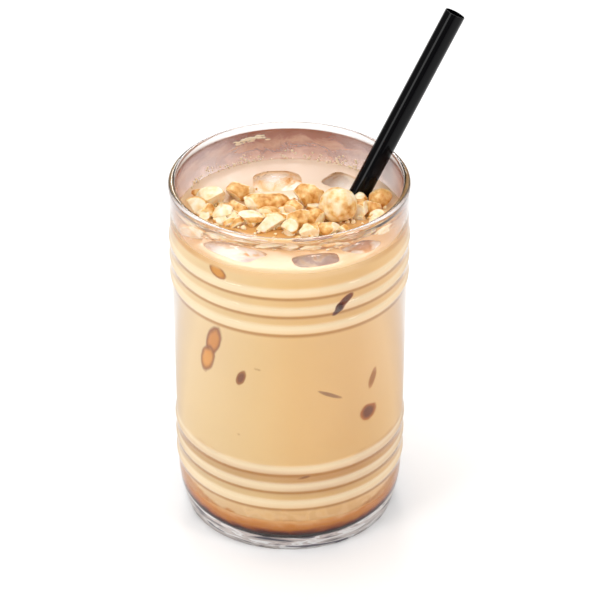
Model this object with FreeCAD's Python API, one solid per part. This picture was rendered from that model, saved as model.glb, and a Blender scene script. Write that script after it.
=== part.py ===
import FreeCAD, Part
import math
import os

from FreeCAD import Matrix, Rotation, Vector

# Iced milk coffee in a ribbed tumbler, with ice, chopped peanuts and a black straw.
# Millimetres, +Z up. The origin is the centre of the tumbler's foot, on the table.

# ---------------------------------------------------------------- driving dimensions

# Tumbler, pressed soda-lime glass
glass_height = 126.0
rim_diameter = 80.0
shoulder_diameter = 77.6      # outside, where the wall starts to turn in to the foot
shoulder_height = 17.5
foot_diameter = 72.0
foot_edge_radius = 1.0
wall = 2.0
floor_thickness = 4.8
floor_corner_radius = 7.0
lip_thickness = 2.4           # fire-polished bead at the rim

# Two bands of three raised hoops around the outside
ribs_per_band = 3
rib_width = 3.6
rib_relief = 0.6
rib_pitch = 7.0
upper_band_drop = 18.6        # rim down to the top of the upper band
lower_band_rise = 19.5        # foot up to the lowest hoop's lower edge

# Drink
level_drop = 14.5             # rim down to the surface of the drink
syrup_depth = 8.7             # dark syrup that has settled on the floor

# Straw, leaning on the inside of the rim with its end on the floor across the glass
straw_diameter = 7.0
straw_wall = 0.3
straw_length = 191.0
straw_rim_bearing = 28.1      # degrees from +X, seen from above
straw_foot_bearing = 197.2
straw_foot_inset = 4.4        # lower end's centre, in from the cavity's wall
straw_clearance = 0.15

# Ice lumps that break the surface: name, x, y, width, depth, turn, height above the drink
ice_height = 19.0
ice_corner_radius = 5.6
ice_lumps = [
    ("ice_back", -4.3, 23.3, 19.0, 15.0, 4.0, 2.8),
    ("ice_back_right", 17.2, 23.4, 13.5, 12.5, -38.0, 2.2),
    ("ice_front_left", -18.0, -19.3, 23.0, 16.5, -43.0, 2.5),
    ("ice_front", 8.6, -26.0, 18.0, 13.0, 14.0, 2.0),
    ("ice_front_right", 23.0, -16.8, 13.5, 13.0, 52.0, 2.3),
]

# Largest piece on top: one rounded peanut kernel
kernel_length = 13.6
kernel_width = 12.2
kernel_x = 16.2
kernel_y = -0.9
kernel_turn = 35.0
kernel_sunk = 1.2             # how deep it sits in the drink

# Chopped peanuts: x, y, length, width, height, turn of each broken piece
nut_pieces = [
    (-30.6, 3.2, 7.0, 6.0, 4.0, 25.0),
    (-25.9, 8.4, 9.0, 7.5, 5.0, -20.0),
    (-21.6, -1.0, 6.8, 5.0, 4.6, 15.0),
    (-16.0, 12.4, 9.5, 7.0, 5.0, 40.0),
    (-17.0, 2.6, 6.0, 5.0, 3.6, -30.0),
    (-8.4, 5.2, 14.0, 6.5, 5.2, 8.0),
    (-12.7, -4.2, 7.2, 5.0, 4.4, -5.0),
    (-6.7, -1.2, 7.0, 4.2, 3.6, 10.0),
    (-5.8, -7.8, 9.5, 5.5, 4.2, 22.0),
    (6.6, 9.4, 8.8, 7.2, 6.0, -8.0),
    (1.4, 2.4, 6.2, 5.2, 3.8, 35.0),
    (3.0, -5.2, 9.0, 6.4, 5.0, 30.0),
    (8.6, -5.6, 5.0, 5.2, 5.2, 5.0),
    (7.2, -12.0, 6.2, 4.2, 3.4, -12.0),
    (13.2, -10.4, 7.4, 4.8, 3.4, 6.0),
    (23.6, 0.6, 6.4, 6.0, 4.2, 50.0),
    (28.6, 2.0, 6.0, 5.0, 3.8, -35.0),
    (30.0, 8.8, 6.6, 5.6, 4.0, 20.0),
]
nut_taper = 0.68              # top of a broken piece against its base
nut_tilt = 7.0                # degrees, alternate ways
heap_core_height = 1.3        # the crumbs that fill in between the pieces
heap_left = -34.0
heap_right = 33.0
heap_half_depth = 9.5
heap_end_share = 0.12         # how blunt the strip's two ends are
heap_end_shift = 3.0          # the strip sags towards the front in the middle
heap_sag = 5.0
heap_edge_wave = 1.3          # unevenness of its edges
heap_wave_step = 1.35
heap_outline_steps = 20
wall_clearance = 0.4          # toppings and ice to the glass

# ---------------------------------------------------------------- worked-out sizes

rim_radius = rim_diameter / 2
shoulder_radius = shoulder_diameter / 2
foot_radius = foot_diameter / 2
drink_level = glass_height - level_drop
syrup_level = floor_thickness + syrup_depth


def outer_radius(z):
    """Outside of the plain wall at height z: a slight taper from rim to shoulder."""
    share = (z - shoulder_height) / (glass_height - shoulder_height)
    return shoulder_radius + (rim_radius - shoulder_radius) * share


def inner_radius(z):
    return outer_radius(z) - wall


def revolve(edges):
    """Turn a closed outline in the XZ plane about Z into a solid."""
    face = Part.Face(Part.Wire(edges))
    return face.revolve(Vector(0, 0, 0), Vector(0, 0, 1), 360)


def point(r, z):
    return Vector(r, 0, z)


def line(a, b):
    return Part.LineSegment(a, b).toShape()


def arc(a, mid, b):
    return Part.Arc(a, mid, b).toShape()


# ---------------------------------------------------------------- tumbler

def rib_starts():
    """Lower edges of the hoops, lowest first."""
    upper_start = glass_height - upper_band_drop - rib_width - rib_pitch * (ribs_per_band - 1)
    return [band + rib_pitch * i
            for band in (lower_band_rise, upper_start)
            for i in range(ribs_per_band)]


def rib_edges(start, z):
    """From the outline's last point up the wall to a hoop, and over the hoop."""
    foot = point(outer_radius(z), z)
    crest = point(outer_radius(z + rib_width / 2) + rib_relief, z + rib_width / 2)
    top = point(outer_radius(z + rib_width), z + rib_width)
    return [line(start, foot), arc(foot, crest, top)], top


def cavity(top):
    """The space inside the glass, from its floor up to a height."""
    bottom_radius = inner_radius(floor_thickness)
    cone = revolve([
        line(point(0, floor_thickness), point(bottom_radius, floor_thickness)),
        line(point(bottom_radius, floor_thickness), point(inner_radius(top), top)),
        line(point(inner_radius(top), top), point(0, top)),
        line(point(0, top), point(0, floor_thickness)),
    ])
    corner = [e for e in cone.Edges if e.Closed and abs(e.BoundBox.ZMax - floor_thickness) < 0.01]
    return cone.makeFillet(floor_corner_radius, corner)


def outer_body():
    """The tumbler's outside as a full solid, from the foot to the middle of the bead."""
    edge = foot_edge_radius
    ring = point(foot_radius - edge, 0)
    side = point(foot_radius, edge)
    edge_mid = point(foot_radius - edge * (1 - math.sin(math.pi / 4)),
                     edge * (1 - math.cos(math.pi / 4)))
    # the foot turns up into the wall on one arc that meets the wall upright
    rise = shoulder_height - edge
    run = shoulder_radius - foot_radius
    turn_radius = (rise ** 2 + run ** 2) / (2 * run)
    half_turn = math.asin(rise / turn_radius) / 2
    turn_mid = point(shoulder_radius - turn_radius * (1 - math.cos(half_turn)),
                     shoulder_height - turn_radius * math.sin(half_turn))
    shoulder = point(shoulder_radius, shoulder_height)

    centre = point(0, 0)
    edges = [line(centre, ring), arc(ring, edge_mid, side), arc(side, turn_mid, shoulder)]
    last = shoulder
    for z in rib_starts():
        new_edges, last = rib_edges(last, z)
        edges += new_edges
    bead_z = glass_height - lip_thickness / 2
    top = point(outer_radius(bead_z), bead_z)
    edges += [line(last, top), line(top, point(0, bead_z)), line(point(0, bead_z), centre)]
    return revolve(edges)


def make_glass():
    bead_z = glass_height - lip_thickness / 2
    bead = Part.makeTorus(outer_radius(bead_z) - wall / 2, lip_thickness / 2)
    bead.translate(Vector(0, 0, bead_z))
    return outer_body().cut(cavity(glass_height)).fuse(bead)


# ---------------------------------------------------------------- straw

def bearing(degrees, radius, z):
    angle = math.radians(degrees)
    return Vector(radius * math.cos(angle), radius * math.sin(angle), z)


def straw_foot_height(foot_radius_in, tilt):
    """Height of the straw's end where its near edge clears the floor and its far edge the corner."""
    edge_rise = straw_diameter / 2 * math.sin(tilt)
    on_floor = floor_thickness + straw_clearance + edge_rise
    corner_z = floor_thickness + floor_corner_radius
    corner_r = inner_radius(floor_thickness) - floor_corner_radius
    across = max(0.0, foot_radius_in + straw_diameter / 2 * math.cos(tilt) - corner_r)
    room = floor_corner_radius - straw_clearance
    on_corner = corner_z - math.sqrt(max(0.0, room ** 2 - across ** 2)) - edge_rise
    return max(on_floor, on_corner)


def straw_axis():
    """Foot of the straw's axis and its direction."""
    bead_reach = (lip_thickness - wall) / 2
    half_width = straw_diameter / 2 + straw_clearance
    bead_z = glass_height - lip_thickness / 2
    foot_radius_in = inner_radius(syrup_level) - straw_foot_inset
    foot = bearing(straw_foot_bearing, foot_radius_in, 0)
    # the tube is cut square, so the height of its end and its lean settle together
    direction = Vector(0, 0, 1)
    for _ in range(8):
        tilt = direction.getAngle(Vector(0, 0, 1))
        foot.z = straw_foot_height(foot_radius_in, tilt)
        rest = inner_radius(bead_z) - bead_reach - half_width / math.cos(tilt)
        direction = (bearing(straw_rim_bearing, rest, bead_z) - foot).normalize()
    return foot, direction


def straw_rod(diameter):
    foot, direction = straw_axis()
    return Part.makeCylinder(diameter / 2, straw_length, foot, direction)


def make_straw():
    return straw_rod(straw_diameter).cut(straw_rod(straw_diameter - 2 * straw_wall))


# ---------------------------------------------------------------- ice and kernel

def make_ice(x, y, width, depth, turn, above):
    """A half-melted cube: every edge rounded, so that its top is a low dome."""
    lump = Part.makeBox(width, depth, ice_height)
    lump = lump.makeFillet(ice_corner_radius, lump.Edges)
    lump.translate(Vector(-width / 2, -depth / 2, above - ice_height))
    lump.rotate(Vector(0, 0, 0), Vector(0, 0, 1), turn)
    # drawn in towards the axis where the outermost corner would come near the glass
    half_diagonal = math.hypot(width / 2, depth / 2) - ice_corner_radius * (math.sqrt(2) - 1)
    reach = inner_radius(drink_level - ice_height) - wall_clearance - half_diagonal
    distance = math.hypot(x, y)
    share = min(1.0, reach / distance)
    lump.translate(Vector(x * share, y * share, drink_level))
    return lump


def make_kernel():
    """A round peanut kernel, an ellipse turned about its long axis, lying down."""
    half_length = kernel_length / 2
    half_width = kernel_width / 2
    ellipse = Part.Ellipse(Vector(0, 0, 0), half_length, half_width)
    half = Part.ArcOfEllipse(ellipse, 0, math.pi).toShape()
    axis_edge = line(Vector(-half_length, 0, 0), Vector(half_length, 0, 0))
    face = Part.Face(Part.Wire([half, axis_edge]))
    kernel = face.revolve(Vector(0, 0, 0), Vector(1, 0, 0), 360)
    kernel.rotate(Vector(0, 0, 0), Vector(0, 0, 1), kernel_turn)
    kernel.translate(Vector(kernel_x, kernel_y, drink_level + half_width - kernel_sunk))
    return kernel


# ---------------------------------------------------------------- chopped nuts

def make_nut_piece(index, x, y, length, width, height, turn):
    """One broken piece: a tapered block, turned and tipped, standing on the drink."""
    dx = length / 2
    dy = width / 2
    piece = Part.makeWedge(-dx, 0, -dy, -dy * nut_taper, -dx * nut_taper,
                           dx, height, dy, dy * nut_taper, dx * nut_taper)
    piece.rotate(Vector(0, 0, 0), Vector(1, 0, 0), 90)
    piece.rotate(Vector(0, 0, 0), Vector(1, 0, 0), nut_tilt * (-1) ** index)
    piece.rotate(Vector(0, 0, 0), Vector(0, 0, 1), turn)
    piece.translate(Vector(x, y, drink_level))
    return piece


def heap_core():
    """The low bed of crumbs under the pieces: a wavy-edged strip across the glass."""
    upper = []
    lower = []
    for i in range(heap_outline_steps + 1):
        share = i / heap_outline_steps
        x = heap_left + (heap_right - heap_left) * share
        bulge = math.sqrt(max(heap_end_share, math.sin(math.pi * share)))
        wave = heap_edge_wave * math.sin(heap_wave_step * i)
        middle = heap_end_shift - heap_sag * math.sin(math.pi * share)
        upper.append(Vector(x, middle + heap_half_depth * bulge + wave, drink_level))
        lower.append(Vector(x, middle - heap_half_depth * bulge + wave / 2, drink_level))
    outline = upper + lower[::-1]
    strip = Part.Face(Part.makePolygon(outline + [outline[0]]))
    return strip.extrude(Vector(0, 0, heap_core_height))


def make_heap(others):
    heap = heap_core()
    for index, sizes in enumerate(nut_pieces):
        heap = heap.fuse(make_nut_piece(index, *sizes))
    room = Part.makeCylinder(inner_radius(drink_level) - wall_clearance, glass_height,
                             Vector(0, 0, drink_level))
    heap = heap.common(room)
    for other in others:
        heap = heap.cut(other)
    return heap


# ---------------------------------------------------------------- whole drink

def whole(shape):
    """The one solid that the shape is."""
    solids = shape.removeSplitter().Solids
    return max(solids, key=lambda solid: solid.Volume)


ice = {}
for name, *sizes in ice_lumps:
    lump = make_ice(*sizes)
    for other in ice.values():
        lump = lump.cut(other)
    ice[name] = lump
kernel = make_kernel()
rod = straw_rod(straw_diameter)

contents = cavity(drink_level)
room_reach = rim_radius + shoulder_radius
syrup_room = Part.makeBox(2 * room_reach, 2 * room_reach, syrup_level,
                          Vector(-room_reach, -room_reach, 0))
syrup = contents.common(syrup_room).cut(rod)
coffee = contents.cut(syrup_room).cut(rod).cut(kernel)
for lump in ice.values():
    coffee = coffee.cut(lump)

nodes = {
    "glass": make_glass(),
    "syrup": syrup,
    "coffee": coffee,
    "straw": make_straw(),
    "peanut_kernel": kernel,
    "chopped_nuts": make_heap([*ice.values(), kernel, rod]),
    **ice,
}

os.makedirs("parts", exist_ok=True)
for name, shape in nodes.items():
    solid = whole(shape)
    solid.exportStep("parts/" + name + ".step")
    box = solid.optimalBoundingBox()
    print(f"{name:16s} {len(shape.Solids)} solid  {solid.Volume / 1000:8.2f} cm3  valid {solid.isValid()}"
          f"  x {box.XMin:7.2f} {box.XMax:7.2f}  y {box.YMin:7.2f} {box.YMax:7.2f}"
          f"  z {box.ZMin:7.2f} {box.ZMax:7.2f}")
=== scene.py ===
import math
import random

import bmesh
import bpy
from mathutils import Matrix, Vector, noise


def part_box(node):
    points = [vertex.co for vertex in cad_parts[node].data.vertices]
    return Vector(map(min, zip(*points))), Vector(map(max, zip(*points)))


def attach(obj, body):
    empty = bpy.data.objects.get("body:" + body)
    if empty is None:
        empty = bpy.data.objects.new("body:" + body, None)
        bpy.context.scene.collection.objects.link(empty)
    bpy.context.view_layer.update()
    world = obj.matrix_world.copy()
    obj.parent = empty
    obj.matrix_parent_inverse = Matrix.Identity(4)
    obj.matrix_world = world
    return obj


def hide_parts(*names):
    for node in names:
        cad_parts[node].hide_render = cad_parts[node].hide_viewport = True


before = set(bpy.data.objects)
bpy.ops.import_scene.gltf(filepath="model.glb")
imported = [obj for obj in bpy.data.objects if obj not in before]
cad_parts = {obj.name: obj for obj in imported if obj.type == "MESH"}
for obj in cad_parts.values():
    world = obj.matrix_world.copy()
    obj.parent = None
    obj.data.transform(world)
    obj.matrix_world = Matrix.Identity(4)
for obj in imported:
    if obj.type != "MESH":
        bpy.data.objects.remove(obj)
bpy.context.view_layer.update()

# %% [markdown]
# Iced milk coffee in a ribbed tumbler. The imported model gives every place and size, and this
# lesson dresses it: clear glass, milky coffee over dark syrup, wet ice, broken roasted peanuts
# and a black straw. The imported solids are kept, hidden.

MM = 0.001

# %% [markdown]
# Every piece fits another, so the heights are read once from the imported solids: the glass gives
# its own height, the coffee gives the level of the drink, and the syrup gives the floor of the
# glass and its own top. A solid's box can't give a wall, a lip or a corner, so those sizes and
# the radii repeat the CAD model's dimensions.

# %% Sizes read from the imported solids
syrup_low, syrup_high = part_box("syrup")
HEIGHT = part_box("glass")[1].z
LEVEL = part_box("coffee")[1].z
FLOOR = syrup_low.z
SYRUP_TOP = syrup_high.z
WALL = 2.0 * MM
LIP = 2.4 * MM
RIM_RADIUS = 40.0 * MM
SHOULDER_RADIUS = 38.8 * MM
SHOULDER = 17.5 * MM
FOOT_RADIUS = 36.0 * MM
FOOT_EDGE = 1.0 * MM
FLOOR_CORNER = 7.0 * MM
SKIN = 0.1 * MM
print("height", HEIGHT, "level", LEVEL, "floor", FLOOR, "syrup top", SYRUP_TOP)


def outer_radius(z):
    """Outside of the plain wall at height z."""
    share = (z - SHOULDER) / (HEIGHT - SHOULDER)
    return SHOULDER_RADIUS + (RIM_RADIUS - SHOULDER_RADIUS) * share


def inner_radius(z):
    """Inside of the plain wall at height z."""
    return outer_radius(z) - WALL


# the foot curves in to its edge as one arc, whose radius follows from its rise and its run
FOOT_RISE = SHOULDER - FOOT_EDGE
FOOT_RUN = SHOULDER_RADIUS - FOOT_RADIUS
FOOT_ARC = (FOOT_RISE ** 2 + FOOT_RUN ** 2) / (2 * FOOT_RUN)


def foot_radius(z):
    """Outside of the curved foot at height z."""
    return SHOULDER_RADIUS - FOOT_ARC + math.sqrt(FOOT_ARC ** 2 - (SHOULDER - z) ** 2)


# %% [markdown]
# Colours are written as sRGB hex values, as a paint chart has them, and one function turns them
# to the linear values that the shaders need. One more function adds a node with its settings and
# its links, so that a material reads as a list of what it is made of.

# %% Colour and node helpers
def srgb(code, alpha=1.0):
    """Linear colour of an sRGB hex value."""
    channels = [int(code[i:i + 2], 16) / 255 for i in (1, 3, 5)]
    linear = [c / 12.92 if c <= 0.04045 else ((c + 0.055) / 1.055) ** 2.4 for c in channels]
    return (*linear, alpha)


def add(tree, kind, settings=None, **inputs):
    """Add a node: settings are its properties, inputs are values or sockets to link from."""
    node = tree.nodes.new(kind)
    for key, value in (settings or {}).items():
        setattr(node, key, value)
    for key, value in inputs.items():
        name = int(key[1:]) if key[0] == "_" and key[1:].isdigit() else key.replace("_", " ")
        socket = node.inputs[name]
        if isinstance(value, bpy.types.NodeSocket):
            tree.links.new(value, socket)
        else:
            socket.default_value = value
    return node


def new_material(name):
    """A material with an empty tree and its output node."""
    material = bpy.data.materials.new(name)
    material.use_nodes = True
    tree = material.node_tree
    tree.nodes.clear()
    return material, tree, tree.nodes.new("ShaderNodeOutputMaterial")


def ramp(tree, factor, stops, mode="LINEAR"):
    """A colour ramp from a list of (position, colour)."""
    node = add(tree, "ShaderNodeValToRGB", Fac=factor)
    node.color_ramp.interpolation = mode
    elements = node.color_ramp.elements
    elements[0].position, elements[0].color = stops[0]
    elements[1].position, elements[1].color = stops[-1]
    for position, colour in stops[1:-1]:
        elements.new(position).color = colour
    return node.outputs["Color"]


# %% [markdown]
# Every piece is a mesh whose place is in its vertices. This helper turns a finished bmesh into
# an object, shades it smooth, gives it its material, tells the frame which body carries it, and
# hides the imported solids it stands for.

# %% Piece helper
def piece(bm, name, material, replaced=(), smooth=True, sharp=None):
    mesh = bpy.data.meshes.new(name)
    bm.to_mesh(mesh)
    bm.free()
    for polygon in mesh.polygons:
        polygon.use_smooth = smooth
    if sharp is not None:
        mesh.set_sharp_from_angle(angle=math.radians(sharp))
    obj = bpy.data.objects.new(name, mesh)
    bpy.context.scene.collection.objects.link(obj)
    mesh.materials.append(material)
    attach(obj, "root")
    if replaced:
        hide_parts(*replaced)
    print(f"{name}: {len(mesh.polygons)} faces")
    return obj


def arc_points(centre, radius, start, end, steps):
    """Points on an arc in the XZ plane, angles in degrees from +X towards +Z."""
    cx, cz = centre
    angles = [math.radians(start + (end - start) * i / steps) for i in range(steps + 1)]
    return [(cx + radius * math.cos(a), cz + radius * math.sin(a)) for a in angles]


def spin_outline(outline, steps):
    """Turn an outline of (radius, height) points about the glass's axis."""
    bm = bmesh.new()
    verts = [bm.verts.new((r, 0, z)) for r, z in outline]
    for a, b in zip(verts, verts[1:]):
        bm.edges.new((a, b))
    bmesh.ops.spin(bm, geom=bm.verts[:] + bm.edges[:], cent=(0, 0, 0), axis=(0, 0, 1),
                   angle=math.tau, steps=steps, use_merge=True)
    bmesh.ops.remove_doubles(bm, verts=bm.verts[:], dist=1e-6)
    bmesh.ops.recalc_face_normals(bm, faces=bm.faces[:])
    return bm


# %% [markdown]
# The camera looks down on the glass at about 32 degrees through a long lens, from a metre away.
# The floor is a plain white sheet.

# %% Camera
PITCH = math.radians(31.889)
DISTANCE = 1023.84 * MM
AIM_BELOW_RIM = 47.34 * MM
AIM_SIDE = 3.52 * MM
LENS = 181.3

camera = bpy.data.objects.new("camera", bpy.data.cameras.new("camera"))
bpy.context.scene.collection.objects.link(camera)
camera.data.sensor_width = 36.0
camera.data.lens = LENS
camera.location = (AIM_SIDE, -DISTANCE * math.cos(PITCH),
                   HEIGHT - AIM_BELOW_RIM + DISTANCE * math.sin(PITCH))
camera.rotation_euler = (math.pi / 2 - PITCH, 0, 0)
camera.data.clip_start = 0.05
camera.data.clip_end = 20
bpy.context.scene.camera = camera
print("camera at", [round(v, 3) for v in camera.location])

# %% [markdown]
# A white room with soft boxes. The room itself gives most of the light, darker near the
# horizon so that clear glass gets a grey edge. One tall box on each side gives the upright
# reflections on the glass and the bright line on the straw, one overhead lights the surface of
# the drink, and a small one behind lights the glass's back edge.

# %% Room, lamps and floor
scene = bpy.context.scene
scene.view_settings.view_transform = "Standard"
scene.view_settings.look = "None"
scene.cycles.max_bounces = 24
scene.cycles.transmission_bounces = 20
scene.cycles.transparent_max_bounces = 24
scene.cycles.blur_glossy = 0.3

world = bpy.data.worlds.new("white room")
scene.world = world
world.use_nodes = True
room = world.node_tree
room.nodes.clear()
room_coords = add(room, "ShaderNodeTexCoord")
room_up = add(room, "ShaderNodeSeparateXYZ", Vector=room_coords.outputs["Generated"])
room_colour = ramp(room, room_up.outputs["Z"],
                   [(0.0, srgb("#7E7B79")), (0.22, srgb("#9C9997")), (0.45, srgb("#E4E2E1")),
                    (0.7, srgb("#FFFFFF"))])
room_light = add(room, "ShaderNodeBackground", Color=room_colour, Strength=0.84)
add(room, "ShaderNodeOutputWorld", Surface=room_light.outputs[0])


def soft_box(name, place, width, height, watts, aim=(0, 0, 0.07)):
    lamp = bpy.data.lights.new(name, "AREA")
    lamp.shape = "RECTANGLE"
    lamp.size = width
    lamp.size_y = height
    lamp.energy = watts
    obj = bpy.data.objects.new(name, lamp)
    scene.collection.objects.link(obj)
    obj.location = place
    obj.rotation_euler = (Vector(aim) - Vector(place)).to_track_quat("-Z", "Y").to_euler()
    return obj


soft_box("left box", (-0.80, -0.60, 0.70), 0.40, 0.9, 4.3)
soft_box("right box", (0.85, -0.50, 0.65), 0.20, 0.9, 2.8)
soft_box("overhead box", (-0.1, 0.20, 1.20), 0.7, 0.5, 3.4)
soft_box("back box", (-0.06, 1.05, 0.80), 0.26, 0.20, 2.0)

floor_bm = bmesh.new()
bmesh.ops.create_grid(floor_bm, x_segments=1, y_segments=1, size=4.0)
FLOOR_GAP = 0.15 * MM
bmesh.ops.translate(floor_bm, vec=(0, 0, -FLOOR_GAP), verts=floor_bm.verts[:])
floor_mesh = bpy.data.meshes.new("floor")
floor_bm.to_mesh(floor_mesh)
floor_bm.free()
floor = bpy.data.objects.new("floor", floor_mesh)
scene.collection.objects.link(floor)
floor_material, tree, out = new_material("white paper sweep")
paper = add(tree, "ShaderNodeBsdfPrincipled", Base_Color=srgb("#FFFFFF"), Roughness=0.7)
tree.links.new(paper.outputs[0], out.inputs["Surface"])
print(floor_material.name, len(tree.nodes), "nodes")
floor_mesh.materials.append(floor_material)

# %% [markdown]
# Clear pressed soda-lime glass, fire-polished, so it has no texture of its own: what it gives
# the eye is its edges, its hoops and its reflections. At glancing edges the tint deepens to a
# brownish grey, most at the rounded lip: partly the longer path through the glass, partly
# painted shade for the dark outlines of the edges. The outline is drawn once and spun. A
# boolean of two cups would work too, but a spun outline keeps the rings of faces even, and
# even rings bend light smoothly. For lamp rays the glass is see-through, because a real glass
# lights its contents and the renderer would otherwise leave them in shade.

# %% Soda-lime glass
glass_material, tree, out = new_material("soda-lime glass, pressed")
# painted shade: the glass turns brownish grey towards glancing edges, most at the lip, for the
# dark outlines of its edges
glass_edge = add(tree, "ShaderNodeLayerWeight", Blend=0.5)
glass_edge_shade = ramp(tree, glass_edge.outputs["Facing"], [
    (0.60, srgb("#FFFFFF")), (0.80, srgb("#CFC2BA")), (0.95, srgb("#8E7F76"))])
lip_edge_shade = ramp(tree, glass_edge.outputs["Facing"], [
    (0.14, srgb("#FFFFFF")), (0.36, srgb("#D8CCC4")), (0.62, srgb("#8A7C72"))])
glass_coords = add(tree, "ShaderNodeTexCoord")
glass_split = add(tree, "ShaderNodeSeparateXYZ", Vector=glass_coords.outputs["Object"])
at_lip = add(tree, "ShaderNodeMapRange", Value=glass_split.outputs["Z"],
             From_Min=HEIGHT - 3.2 * MM, From_Max=HEIGHT - 2.4 * MM, To_Min=0.0,
             To_Max=1.0).outputs[0]
glass_edge_shade = add(tree, "ShaderNodeMix", {"data_type": "RGBA"}, Factor=at_lip,
                 _6=glass_edge_shade, _7=lip_edge_shade).outputs[2]
glass_shader = add(tree, "ShaderNodeBsdfPrincipled", Base_Color=glass_edge_shade, Roughness=0.0,
                   IOR=1.5, Specular_IOR_Level=0.32, Transmission_Weight=1.0)
glass_clear = add(tree, "ShaderNodeBsdfTransparent", Color=srgb("#F4F6F5"))
glass_rays = add(tree, "ShaderNodeLightPath")
glass_mix = add(tree, "ShaderNodeMixShader", Fac=glass_rays.outputs["Is Shadow Ray"],
                _1=glass_shader.outputs[0], _2=glass_clear.outputs[0])
tree.links.new(glass_mix.outputs[0], out.inputs["Surface"])
print(glass_material.name, len(tree.nodes), "nodes")

# %% Tumbler
RIB_WIDTH = 3.6 * MM
RIB_RELIEF = 0.6 * MM
RIB_PITCH = 7.0 * MM
LOWER_BAND = 19.5 * MM
UPPER_BAND = HEIGHT - 18.6 * MM - RIB_WIDTH - 2 * RIB_PITCH
RIBS = [band + RIB_PITCH * i for band in (LOWER_BAND, UPPER_BAND) for i in range(3)]
GLASS_STEPS = 192


def foot_outline():
    """From the axis under the base, round the foot's edge, up to the shoulder."""
    sweep = math.degrees(math.asin(FOOT_RISE / FOOT_ARC))
    flat = FOOT_RADIUS - 5.5 * MM
    outline = [(flat * i / 8, 0.0) for i in range(9)]
    outline.append((flat + 1.5 * MM, 0.0))
    outline += arc_points((FOOT_RADIUS - FOOT_EDGE, FOOT_EDGE), FOOT_EDGE, -90, -8, 5)
    outline += arc_points((SHOULDER_RADIUS - FOOT_ARC, SHOULDER), FOOT_ARC, -sweep, 0, 14)
    return outline


def rib_outline(z):
    steps = 8
    heights = [z + RIB_WIDTH * i / steps for i in range(steps + 1)]
    return [(outer_radius(h) + RIB_RELIEF * math.sin(math.pi * i / steps), h)
            for i, h in enumerate(heights)]


def cavity_outline(top, out_by=0.0, steps=14):
    """Inside of the glass from the floor's centre up to a height, grown outwards by out_by."""
    radius = inner_radius(FLOOR + FLOOR_CORNER) - FLOOR_CORNER
    corner = arc_points((radius, FLOOR + FLOOR_CORNER), FLOOR_CORNER + out_by, -90, 0, steps)
    outline = [(0.0, FLOOR - out_by), (radius * 0.5, FLOOR - out_by)] + corner
    rings = 24
    start = FLOOR + FLOOR_CORNER
    for i in range(1, rings + 1):
        z = start + (top - start) * i / rings
        outline.append((inner_radius(z) + out_by, z))
    return outline


def lip_outline():
    centre_z = HEIGHT - LIP / 2
    centre_r = outer_radius(centre_z) - WALL / 2
    return arc_points((centre_r, centre_z), LIP / 2, -35, 215, 16)


glass_outline = foot_outline()
for rib in RIBS:
    glass_outline += rib_outline(rib)
glass_outline += lip_outline()
glass_outline += cavity_outline(HEIGHT - 2.2 * LIP)[::-1]
piece(spin_outline(glass_outline, GLASS_STEPS), "tumbler", glass_material, ["glass"])

# %% [markdown]
# Thick clear glass at the foot shows the room squeezed into flat slabs of white, grey and
# navy. Ray by ray, this foot comes out an even dark grey once the drink stands on it, so the
# streaks are painted on a thin ring just under the foot's skin: noise pulled out along the
# ring, cut off where the drink begins. Being paint, they don't shift as the eye moves.

# %% Painted room reflection in the foot
foot_reflection_material, tree, out = new_material("pressed glass foot, painted room reflection")
coords = add(tree, "ShaderNodeTexCoord").outputs["Object"]
split = add(tree, "ShaderNodeSeparateXYZ", Vector=coords)
pulled = add(tree, "ShaderNodeMapping", Vector=coords, Scale=(1.0, 1.0, 6.0))
slabs = add(tree, "ShaderNodeTexNoise", Vector=pulled.outputs[0], Scale=1 / (13 * MM), Detail=2.0,
            Roughness=0.45, Distortion=0.6)
# painted reflection: white, grey and navy slabs stand in for the room seen through the foot
painted_reflection_colour = ramp(tree, slabs.outputs["Fac"], [
    (0.33, srgb("#3C3E50")), (0.39, srgb("#B4AAA8")), (0.46, srgb("#E6DCD8")),
    (0.50, srgb("#CFC4C0")), (0.54, srgb("#FFFFFF")), (0.61, srgb("#F2ECEA")),
    (0.66, srgb("#6E6670"))])
drink_edge = add(tree, "ShaderNodeMapRange", Value=split.outputs["Y"], From_Min=-37 * MM,
                 From_Max=-12 * MM, To_Min=6.6 * MM, To_Max=9.8 * MM).outputs[0]
under_edge = add(tree, "ShaderNodeMath", {"operation": "SUBTRACT"}, _0=drink_edge,
                 _1=split.outputs["Z"]).outputs[0]
painted_reflection_cover = add(tree, "ShaderNodeMapRange", {"interpolation_type": "SMOOTHSTEP"},
                   Value=under_edge, From_Min=0.0, From_Max=0.8 * MM, To_Min=0.0,
                   To_Max=0.92).outputs[0]
painted_reflection_shader = add(tree, "ShaderNodeBsdfPrincipled", Base_Color=painted_reflection_colour, Roughness=0.6,
                    Alpha=painted_reflection_cover)
tree.links.new(painted_reflection_shader.outputs[0], out.inputs["Surface"])
print(foot_reflection_material.name, len(tree.nodes), "nodes")


UNDER_SKIN = 0.45 * MM
REFLECTION_RING_STEP = 0.8 * MM
reflection_ring_heights = [FOOT_EDGE + REFLECTION_RING_STEP * i for i in range(13)]
reflection_ring_outline = [(foot_radius(z) - UNDER_SKIN, z) for z in reflection_ring_heights]
reflection_ring_outline = [(FOOT_RADIUS - 1.1 * MM, 0.35 * MM)] + reflection_ring_outline
reflection_ring_outline += [(r - SKIN, z) for r, z in reversed(reflection_ring_outline)]
reflection_ring_outline.append(reflection_ring_outline[0])
piece(spin_outline(reflection_ring_outline, GLASS_STEPS), "foot_painted_reflection", foot_reflection_material)
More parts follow.
